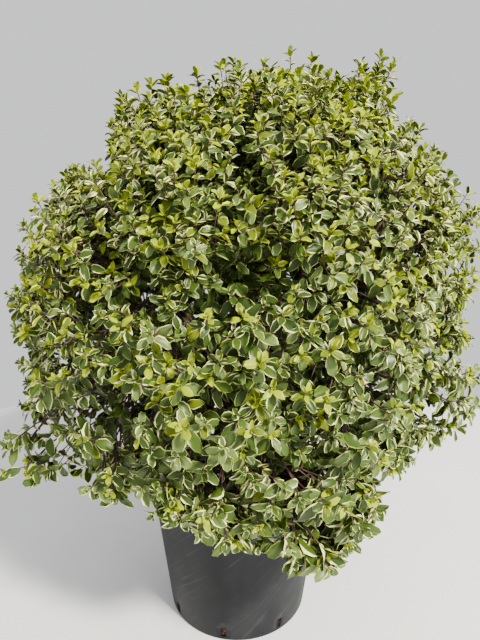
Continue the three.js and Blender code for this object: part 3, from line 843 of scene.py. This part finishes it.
# %% The rule of growth
SHOOT_LIFT = 0.7, 2.4                    # how strongly a shoot turns up, low down and at the top
SHOOT_PULLS, STEM_PULLS = (0.3, 0.5), (0.35, 0.3)        # handles, as shares of the length
FORK_HASTE = 2                           # the greater this is, the sooner a stem forks


def split(points):
    """Parts points into those nearer to one and to the other of the two that lie furthest apart."""
    gaps = np.linalg.norm(points[:, None] - points[None], axis=-1)
    one, other = np.unravel_index(np.argmax(gaps), gaps.shape)
    nearer = gaps[:, one] <= gaps[:, other]
    return points[nearer], points[~nearer]


def twig_controls(foot, way, end, end_way, pulls):
    """The four points of a curve that leaves its foot along one way and ends along another."""
    length = np.linalg.norm(end - foot)
    return np.array([foot, foot + way * length * pulls[0], end - end_way * length * pulls[1], end])


def grow(foot, way, points, found):
    """Adds to found a (controls, fed) pair for each twig. A twig starts along its parent's way.
    A shoot ends on a way between outward and up, which curves it. A stem that feeds n tips covers
    1 / (log2 n + haste) of the way to their middle."""
    count = len(points)
    if count == 1:
        tip = points[0]
        end_way = unit(unit(tip - CENTRE) + blend(*SHOOT_LIFT, height_share(tip)) * UP)
        found.append((twig_controls(foot, way, tip, end_way, SHOOT_PULLS), 1))
        return
    end = foot + (points.mean(axis=0) - foot) / (math.log2(count) + FORK_HASTE)
    run = unit(end - foot)
    found.append((twig_controls(foot, way, end, run, STEM_PULLS), count))
    for part in split(points):
        if len(part):
            grow(end, run, part, found)


for i, mass in enumerate(masses):
    found = []
    grow(mass["stem_foot"], mass["heading"], tips[owner == i], found)
    mass["twigs"] = np.array([controls for controls, fed in found])
    mass["fed"] = np.array([fed for controls, fed in found])
print("twigs:", sum(len(mass["fed"]) for mass in masses))

# %% Three-sided tubes
TWIG_RINGS, TWIG_SIDES = 4, 3
TWIG_HINT = np.array([0.37, 0.21, 0.90])         # a twig's first spokes are about square to this


def tubes(controls, start_radii, end_radii):
    """All twigs at once, as an array (twigs, rings, sides, 3) with a point for each tip: at every
    ring the curve's point plus a triangle of spokes square to its way, scaled by the taper."""
    count = len(controls)
    shares = np.linspace(0, 1, TWIG_RINGS)
    path, ways = bezier(controls, shares), bezier_ways(controls, shares)
    spare = unit(np.cross(controls[:, 3] - controls[:, 0], TWIG_HINT))
    across = unit(np.cross(ways, np.cross(spare[:, None], ways)))
    around = np.cross(ways, across)
    turns = full_turn(TWIG_SIDES)[:, None]
    spokes = np.cos(turns) * across[..., None, :] + np.sin(turns) * around[..., None, :]
    radii = start_radii[:, None] + (end_radii - start_radii)[:, None] * shares
    rings = path[:, :, None] + spokes * radii[..., None, None]
    points = np.concatenate([rings.reshape(count, -1, 3), path[:, -1:]], axis=1)
    size = TWIG_RINGS * TWIG_SIDES
    cap = fan(np.arange(size - TWIG_SIDES, size), size)
    first = (size + 1) * np.arange(count)[:, None, None]
    sleeves = (grid_faces(TWIG_RINGS, TWIG_SIDES, closed=True) + first).reshape(-1, 4)
    return points.reshape(-1, 3), [sleeves, (cap + first).reshape(-1, 3)]


# %% The twigs of each mass
TWIG_RADIUS, TWIG_POWER = 0.0015, 0.30   # a shoot's radius, and how it grows with the tips fed
STEM_TAPER, SHOOT_TAPER = 0.85, 0.65     # the end's radius as a share of the start's
old_wood = plain_finish("old_twig", (0.055, 0.030, 0.027), 0.7, 0.3)
young_wood = plain_finish("young_twig", (0.065, 0.030, 0.024), 0.6, 0.4)
for mass in masses:
    young = mass["fed"] == 1
    start = TWIG_RADIUS * mass["fed"] ** TWIG_POWER
    points, faces = tubes(mass["twigs"], start, start * np.where(young, SHOOT_TAPER, STEM_TAPER))
    slots = np.concatenate([np.repeat(young, len(block) // len(young)) for block in faces])
    twigs = mesh_piece(f"twigs_{mass['name']}", points, faces, [old_wood, young_wood], slots)
    place(twigs, "bark", f"foliage_{mass['name']}")
print("twig pieces:", len(masses))

# %% [markdown]
# ## Leaves
# A leaf is 2 to 4 cm long, widest just past its middle, waved at the edge and folded a little
# along its midrib. Its green middle has a cream margin of uneven width. The margin could be a
# picture on a flat card, but a card shows no edge from the side. Here each leaf is a small grid
# of faces in the leaf's own outline: the outer column of faces is the margin, and takes a cream
# colour, and the inner ones take a green. A dozen different leaves are made, and each place on a
# twig is dealt one of them.

# %% Sizes of a leaf of unit length
LEAF_KINDS = 12
LEAF_COLUMNS = 5                         # points across the blade in each row
LEAF_ROWS = np.array([0.27, 0.57, 0.87])         # places along the midrib
HALF_WIDTHS = np.array([0.184, 0.276, 0.196])    # and the blade's half widths there
BLADE_FOOT = 0.09
STALK = 0.012                            # half the width of the leaf's stalk
GREEN_WIDTH, MARGIN_NOISE = 0.96, 0.30   # how far the green reaches, and how far it falls back
ROW_WIDTHS, KIND_WIDTHS = (0.88, 1.10), (0.9, 1.08)
MIDRIB_STRAY, ROW_STRAY, TIP_STRAY = 0.012, 0.025, 0.02
FOLDS, ARCHES = (0.05, 0.55), (0.12, 0.60)       # the least and the most of each
EDGE_WAVE = 0.085
TIP_PLACES = 0.97, 1.03


# %% A dozen leaves
def leaf_kinds(dice):
    """Points (kinds, points, 3) of each leaf, x across, y along and z out of its upper face.

    Rows of five points, at shares -1, -m, 0, m, 1 of the half width, where m is the margin's
    inner edge. Height is a fold, |x| times a slope, less an arch, y squared, plus waves that grow
    towards the edge. The last points are the blade's foot, its tip and the two of the stalk."""
    kinds, rows = LEAF_KINDS, len(LEAF_ROWS)
    inner = GREEN_WIDTH - MARGIN_NOISE * dice.uniform(0, 1, (kinds, rows, 2)) ** 3
    ones = np.ones((kinds, rows))
    across = np.stack([-ones, -inner[..., 0], 0 * ones, inner[..., 1], ones], axis=-1)
    half = HALF_WIDTHS * dice.uniform(*ROW_WIDTHS, (kinds, rows))
    half = half * dice.uniform(*KIND_WIDTHS, (kinds, 1))
    x = across * half[..., None] + dice.uniform(-MIDRIB_STRAY, MIDRIB_STRAY, (kinds, rows, 1))
    stray = dice.uniform(-ROW_STRAY, ROW_STRAY, (kinds, rows, LEAF_COLUMNS))
    y = LEAF_ROWS[:, None] + stray * np.abs(across)
    fold = dice.uniform(*FOLDS, (kinds, 1, 1))
    arch = dice.uniform(*ARCHES, (kinds, 1, 1))
    wave = dice.uniform(-EDGE_WAVE, EDGE_WAVE, (kinds, rows, LEAF_COLUMNS)) * across ** 2
    z = fold * np.abs(x) - arch * y ** 2 + wave
    blade_points = np.stack([x, y, z], axis=-1).reshape(kinds, rows * LEAF_COLUMNS, 3)
    tip_y = dice.uniform(*TIP_PLACES, kinds)
    tip_x = dice.uniform(-TIP_STRAY, TIP_STRAY, kinds)
    tip = np.stack([tip_x, tip_y, -arch[:, 0, 0] * tip_y ** 2], axis=-1)
    foot = np.broadcast_to([0, BLADE_FOOT, 0], (kinds, 3))
    stalk = np.broadcast_to([[-STALK, 0, 0], [STALK, 0, 0]], (kinds, 2, 3))
    return np.concatenate([blade_points, foot[:, None], tip[:, None], stalk], axis=1)


# %% The faces of a leaf, and which of them are margin
GRID_POINTS = LEAF_COLUMNS * len(LEAF_ROWS)
FOOT_POINT, TIP_POINT, STALK_POINT = GRID_POINTS, GRID_POINTS + 1, GRID_POINTS + 2
LEAF_POINTS = GRID_POINTS + 4
MARGIN_ACROSS = [True, False, False, True]       # the outer faces of each row are margin
first_row = np.arange(LEAF_COLUMNS - 1)
last_row = first_row + GRID_POINTS - LEAF_COLUMNS
foot_fan = np.column_stack([np.full_like(first_row, FOOT_POINT), first_row + 1, first_row])
tip_fan = np.column_stack([np.full_like(last_row, TIP_POINT), last_row, last_row + 1])
stalk_face = [[STALK_POINT, STALK_POINT + 1, FOOT_POINT]]
leaf_quads = grid_faces(len(LEAF_ROWS), LEAF_COLUMNS, closed=False)
leaf_triangles = np.concatenate([foot_fan, tip_fan, stalk_face])
quad_margin = np.tile(MARGIN_ACROSS, len(LEAF_ROWS) - 1)
triangle_margin = np.array(MARGIN_ACROSS * 2 + [False])
print("triangles in a leaf:", 2 * len(leaf_quads) + len(leaf_triangles))

# %% How leaves turn along a shoot
SPREAD_ALONG = np.radians([12, 24, 34, 43, 51, 58, 63, 67, 69, 71, 73, 75])
PHYLLOTAXY = np.radians(137.5)           # the golden angle, from each leaf to the next
TURN_NOISE, SPREAD_NOISE, FACE_NOISE = 0.25, 0.13, 0.44
SAG = 0.75                               # how strongly the old leaves low in the crown hang down
SAG_LEAVES = 5                           # leaves further from the tip than this hang in full
SKY_PULL = 0.45, 0.75                    # how strongly faces turn up, low down and at the top
SUN_PULL = 0.72, 0.20                    # and to the bright side
SUNWARD = np.array([0.20, -0.93, 0.30])  # the bright side
LEAF_HINT = np.array([0.30, 0.12, 0.94])         # turns are counted from square to this


def leaf_frames(way, height, dice):
    """Frames of the leaves along each shoot, as rows across, forward and up out of the face.

    Each leaf turns round the shoot by the golden angle from the last. Forward leans out of the
    shoot's way by the leaf's spread, and old leaves low in the crown sag. The face looks towards
    the shoot's tip, then turns part of the way to the sky and to the bright side."""
    count, along = height.shape
    height = height[..., None]
    across = unit(np.cross(way, LEAF_HINT))
    around = np.cross(way, across)
    turn = dice.uniform(0, 2 * np.pi, (count, 1)) + PHYLLOTAXY * np.arange(along)
    turn = (turn + dice.normal(0, TURN_NOISE, (count, along)))[..., None]
    side = np.cos(turn) * across + np.sin(turn) * around
    spread = (SPREAD_ALONG + dice.normal(0, SPREAD_NOISE, (count, along)))[..., None]
    sag = SAG * (1 - height) * np.clip(np.arange(along) / SAG_LEAVES, 0, 1)[:, None]
    forward = unit(np.cos(spread) * way + np.sin(spread) * side - sag * UP)
    face = np.sin(spread) * way - np.cos(spread) * side
    face = face + blend(*SKY_PULL, height) * UP + blend(*SUN_PULL, height) * SUNWARD
    face = face + dice.normal(0, FACE_NOISE, (count, along, 3))
    level = unit(np.cross(forward, face))
    return np.stack([level, forward, np.cross(level, forward)], axis=-2)


# %% Which leaves have room
POT_ROOM = 0.004                         # a leaf's tip keeps this far off the pot
LEAF_GIRTH = 0.3                         # and its middle this share of its length


def outness(points):
    """Distance from the crown's centre as a share of the reach that way: 1 on the outline."""
    ray = points - CENTRE
    distance = np.linalg.norm(ray, axis=-1)
    return distance / reach(ray / distance[..., None])


def leaf_is_clear(root, tip, size):
    """True where a leaf keeps inside the outline and off the pot, at its tip and its middle."""
    off_pot = clear_of_pot(tip, POT_ROOM) & clear_of_pot((root + tip) / 2, LEAF_GIRTH * size)
    return (outness(tip) <= 1) & off_pot


# %% Where the leaves sit, and their lengths
FROM_TIP = 0.001 * np.array([0.5, 1.2, 2.4, 4, 6.5, 10, 15, 21, 28, 36, 45, 55])
SIZE_ALONG = np.array([0.42, 0.52, 0.61, 0.69, 0.78, 0.90, 1, 1.03, 1.03, 1, 0.96, 0.92])
YOUNG_SIZE = 1.6, 0.25                   # powers of the sizes: low down the end leaves are small
LEAF_LENGTH = 0.041, 0.0190              # low in the crown and at its top
LEAF_FADE = 0.36                         # under 1, they shorten fastest low down
INNER_GAIN = 0.55                        # leaves deep in the crown are up to this much longer
SPACINGS = 0.85, 1.15                    # from the closest set shoot to the widest
SHOOT_SIZES, LEAF_SIZES = (0.85, 1.12), (0.9, 1.08)
BARE_FOOT = 0.05                         # this share of a shoot, at its foot, has no leaves


def leaf_places(mass, dice):
    """Root, frame and length of each leaf of a mass, its place from its shoot's tip, and its
    shoot. Leaves are longest low down and deep inside, and shorter at a shoot's end."""
    controls = mass["twigs"][mass["fed"] == 1]
    count, along = len(controls), len(FROM_TIP)
    length = np.linalg.norm(controls[:, 3] - controls[:, 0], axis=1)
    share = 1 - FROM_TIP * dice.uniform(*SPACINGS, (count, 1)) / length[:, None]
    root = bezier(controls, share)
    height = height_share(root)
    frames = leaf_frames(bezier_ways(controls, share), height, dice)
    size = blend(*LEAF_LENGTH, height ** LEAF_FADE) * SIZE_ALONG ** blend(*YOUNG_SIZE, height)
    size = size * (1 + INNER_GAIN * (1 - outness(root))) * dice.uniform(*SHOOT_SIZES, (count, 1))
    size = size * dice.uniform(*LEAF_SIZES, (count, along))
    order = np.broadcast_to(np.arange(along), (count, along))
    shoot = np.broadcast_to(np.arange(count)[:, None], (count, along))
    tip = root + frames[..., 1, :] * size[..., None]
    kept = (share > BARE_FOOT) & leaf_is_clear(root, tip, size)
    return root[kept], frames[kept], size[kept], order[kept], shoot[kept]


# %% [markdown]
# ## Colours dealt by the spray
# Old leaves low on a shoot have a deep or greyish green middle and a cream margin. Where a shoot
# is in growth, the young ones at its end are yellow-green with a margin of pale lime. More shoots
# are in growth near the top, and many of their older leaves are still fresh. Leaves deep in the
# crown take a darker green and a dark margin as painted shade. All this could be a gradient, but
# a shoot is of one age and leans one way, so each is dealt its green once, and its leaves keep it
# but for a small chance of a neighbour's. Each colour is a plain finish in a slot of its own, half
# glossy as the leaves are.

# %% The colours
GREENS = {
    "leaf_deep_green": (0.034, 0.064, 0.008),
    "leaf_mid_green": (0.052, 0.092, 0.010),
    "leaf_grey_green": (0.110, 0.166, 0.037),
    "leaf_fresh_green": (0.110, 0.148, 0.003),
    "leaf_lime": (0.290, 0.362, 0.002),
}
CREAMS = {
    "margin_cream": (0.860, 0.850, 0.360),
    "margin_pale_green": (0.460, 0.530, 0.110),
    "margin_lime": (0.500, 0.560, 0.015),
    # painted shade: the dark margin of leaves deep in the crown
    "margin_shaded": (0.300, 0.330, 0.090),
}
DEEP, MID, GREY, FRESH, LIME = range(len(GREENS))
CREAM, PALE, BRIGHT, SHADED_MARGIN = range(len(GREENS), len(GREENS) + len(CREAMS))
LEAF_ROUGHNESS, LEAF_SPECULAR = 0.35, 0.23
leaf_finishes = [plain_finish(name, colour, LEAF_ROUGHNESS, LEAF_SPECULAR)
                 for name, colour in {**GREENS, **CREAMS}.items()]
print("leaf colours:", len(leaf_finishes))

# %% Dealing them
GREEN_SHARES = 0.36, 0.37, 0.27          # of the shoots, for deep, mid and grey green
# Leaves inside this share of the reach take painted shade: a darker green and a dark margin.
LIT_SHARE = 0.80                         # leaves beyond this share of the reach are outer ones
FLUSH_SHARE = 0.34, 0.58                 # the share of shoots in growth, low and at the top
YOUNG_LEAVES = 3.6, 5.2                  # up to this place from their tips leaves are young
RIPENING_SHARE = 0.60                    # the share of outer leaves still fresh at the top


def deal_colours(order, shoot, height, outer, dice):
    """A green and a cream slot for each leaf. Outer leaves take their shoot's green or one next
    to it. Inner ones take painted shade: deep green, or mid in place of grey, and a dark margin.
    Then outer leaves ripen, with a chance that grows with the height squared, and the end leaves of
    shoots in growth are young."""
    count, shoots = len(order), shoot.max() + 1
    shoot_green = dice.choice([DEEP, MID, GREY], shoots, p=GREEN_SHARES)
    flushing = dice.uniform(0, 1, shoots)[shoot] < blend(*FLUSH_SHARE, height)
    green = np.clip(shoot_green[shoot] + dice.choice([-1, 0, 0, 1], count), DEEP, GREY)
    ripening = outer & (dice.uniform(0, 1, count) < RIPENING_SHARE * height ** 2)
    # Inner leaves step down to a darker green, as painted shade.
    green = np.where(ripening, FRESH, np.where(outer, green, green // 2))
    young = outer & flushing & (order < blend(*YOUNG_LEAVES, height))
    green = np.where(young, dice.choice([FRESH, LIME, LIME], count), green)
    cream = dice.choice([CREAM, CREAM, PALE], count)
    ripe_cream = dice.choice([CREAM, PALE, BRIGHT], count)
    # Inner leaves take the dark margin, as painted shade.
    cream = np.where(ripening, ripe_cream, np.where(outer, cream, SHADED_MARGIN))
    return green, np.where(young, dice.choice([PALE, BRIGHT, BRIGHT], count), cream)


# %% Setting the leaves on the twigs
def leaves_of(mass, kinds, dice):
    """Points and faces of a mass's leaves: each leaf's kind, scaled by its length, turned into
    its frame and carried to its root. Faces come as all the quads, then all the triangles."""
    root, frames, size, order, shoot = leaf_places(mass, dice)
    count = len(root)
    shapes = kinds[dice.integers(0, LEAF_KINDS, count)] * size[:, None, None]
    points = np.einsum("nvi,nij->nvj", shapes, frames) + root[:, None]
    first = LEAF_POINTS * np.arange(count)[:, None, None]
    # Leaves that are not outer take painted shade in deal_colours.
    outer = outness(root) > LIT_SHARE
    green, cream = deal_colours(order, shoot, height_share(root), outer, dice)
    slots = [np.where(margin, cream[:, None], green[:, None]).ravel()
             for margin in (quad_margin, triangle_margin)]
    faces = [(leaf_quads + first).reshape(-1, 4), (leaf_triangles + first).reshape(-1, 3)]
    return points.reshape(-1, 3), faces, np.concatenate(slots), count


# %% The leaves of each mass
leaf_dice = np.random.default_rng(57)
kinds = leaf_kinds(leaf_dice)
leaf_total = 0
for mass in masses:
    points, faces, slots, count = leaves_of(mass, kinds, leaf_dice)
    leaves = mesh_piece(f"leaves_{mass['name']}", points, faces, leaf_finishes, slots)
    place(leaves, "foliage", f"foliage_{mass['name']}")
    leaf_total += count
print("leaves:", leaf_total)

# %% [markdown]
# ## Floor, light and camera
# The plant stands on a plain pale floor in soft daylight. A sky alone would leave the leaves
# flat, and a lamp alone would leave black gaps between them, so both are used. The sky is pale all
# round. A warm lamp far off, high and to the right of the viewer, gives each leaf a bright and a
# dark side, and a weak second one, low at the front right, opens the shade under the skirt. The
# camera stands a little above the crown's middle and looks down a little.

# %% The floor
FLOOR_RADIUS, FLOOR_COLUMNS = 1.6, 64
FLOOR_DROP = 0.0004                      # keeps the floor from touching the pot's underside
floor_rings = np.linspace(1, 0.05, 12)[:, None] * [FLOOR_RADIUS, 0]
floor_points = revolve(floor_rings, full_turn(FLOOR_COLUMNS)).reshape(-1, 3)
last_ring = np.arange(len(floor_points) - FLOOR_COLUMNS, len(floor_points))
floor_faces = [grid_faces(len(floor_rings), FLOOR_COLUMNS, closed=True),
               fan(last_ring, len(floor_points))]
floor_points = np.concatenate([floor_points, [[0, 0, 0]]]) - FLOOR_DROP * UP
board = plain_finish("pale_board", (0.88, 0.88, 0.88), 0.7, 0.2)
feed(board, "Base Color", ramp(board, object_noise(board, (1, 1, 1), 3, 3), [
    (0.3, (0.86, 0.86, 0.865)), (0.7, (0.91, 0.91, 0.905))]))
floor = mesh_piece("floor", floor_points, floor_faces, [board])
print("floor:", len(floor.data.polygons), "faces")

# %% Light
SKY_COLOUR, SKY_STRENGTH = (0.82, 0.83, 0.84, 1), 1.16


def lamp(name, spot, target, power, size, colour):
    """A square area light at a spot, turned so that its -Z looks at the target."""
    light = bpy.data.lights.new(name, "AREA")
    light.energy, light.size, light.color = power, size, colour
    holder = bpy.data.objects.new(name, light)
    bpy.context.scene.collection.objects.link(holder)
    way = np.array(target) - np.array(spot)
    holder.location = spot
    turn = math.atan2(way[1], way[0]) - math.pi / 2
    tilt = math.atan2(math.hypot(way[0], way[1]), -way[2])
    holder.rotation_euler = (tilt, 0, turn)


lamp("sun_side", (3.6, -4.3, 5.3), (0, 0, 0.6), 1500, 0.90, (1.0, 0.96, 0.84))
lamp("shade_side", (1.9, -2.0, 0.7), (0, 0, 0.5), 24, 1.6, (1.0, 0.98, 0.95))
world = bpy.data.worlds.new("pale_sky")
world.use_nodes = True
background = world.node_tree.nodes["Background"].inputs
background["Color"].default_value = SKY_COLOUR
background["Strength"].default_value = SKY_STRENGTH
bpy.context.scene.world = world

# %% Camera
CAMERA_SPOT, CAMERA_DIP = (0.0053, -1.0174, 0.8714), 11.6        # dip in degrees below level
camera = bpy.data.objects.new("camera", bpy.data.cameras.new("camera"))
camera.data.lens, camera.data.sensor_width = 27.0, 36.0
camera.location = CAMERA_SPOT
camera.rotation_euler = (math.radians(90 - CAMERA_DIP), 0, 0)
bpy.context.scene.collection.objects.link(camera)
bpy.context.scene.camera = camera
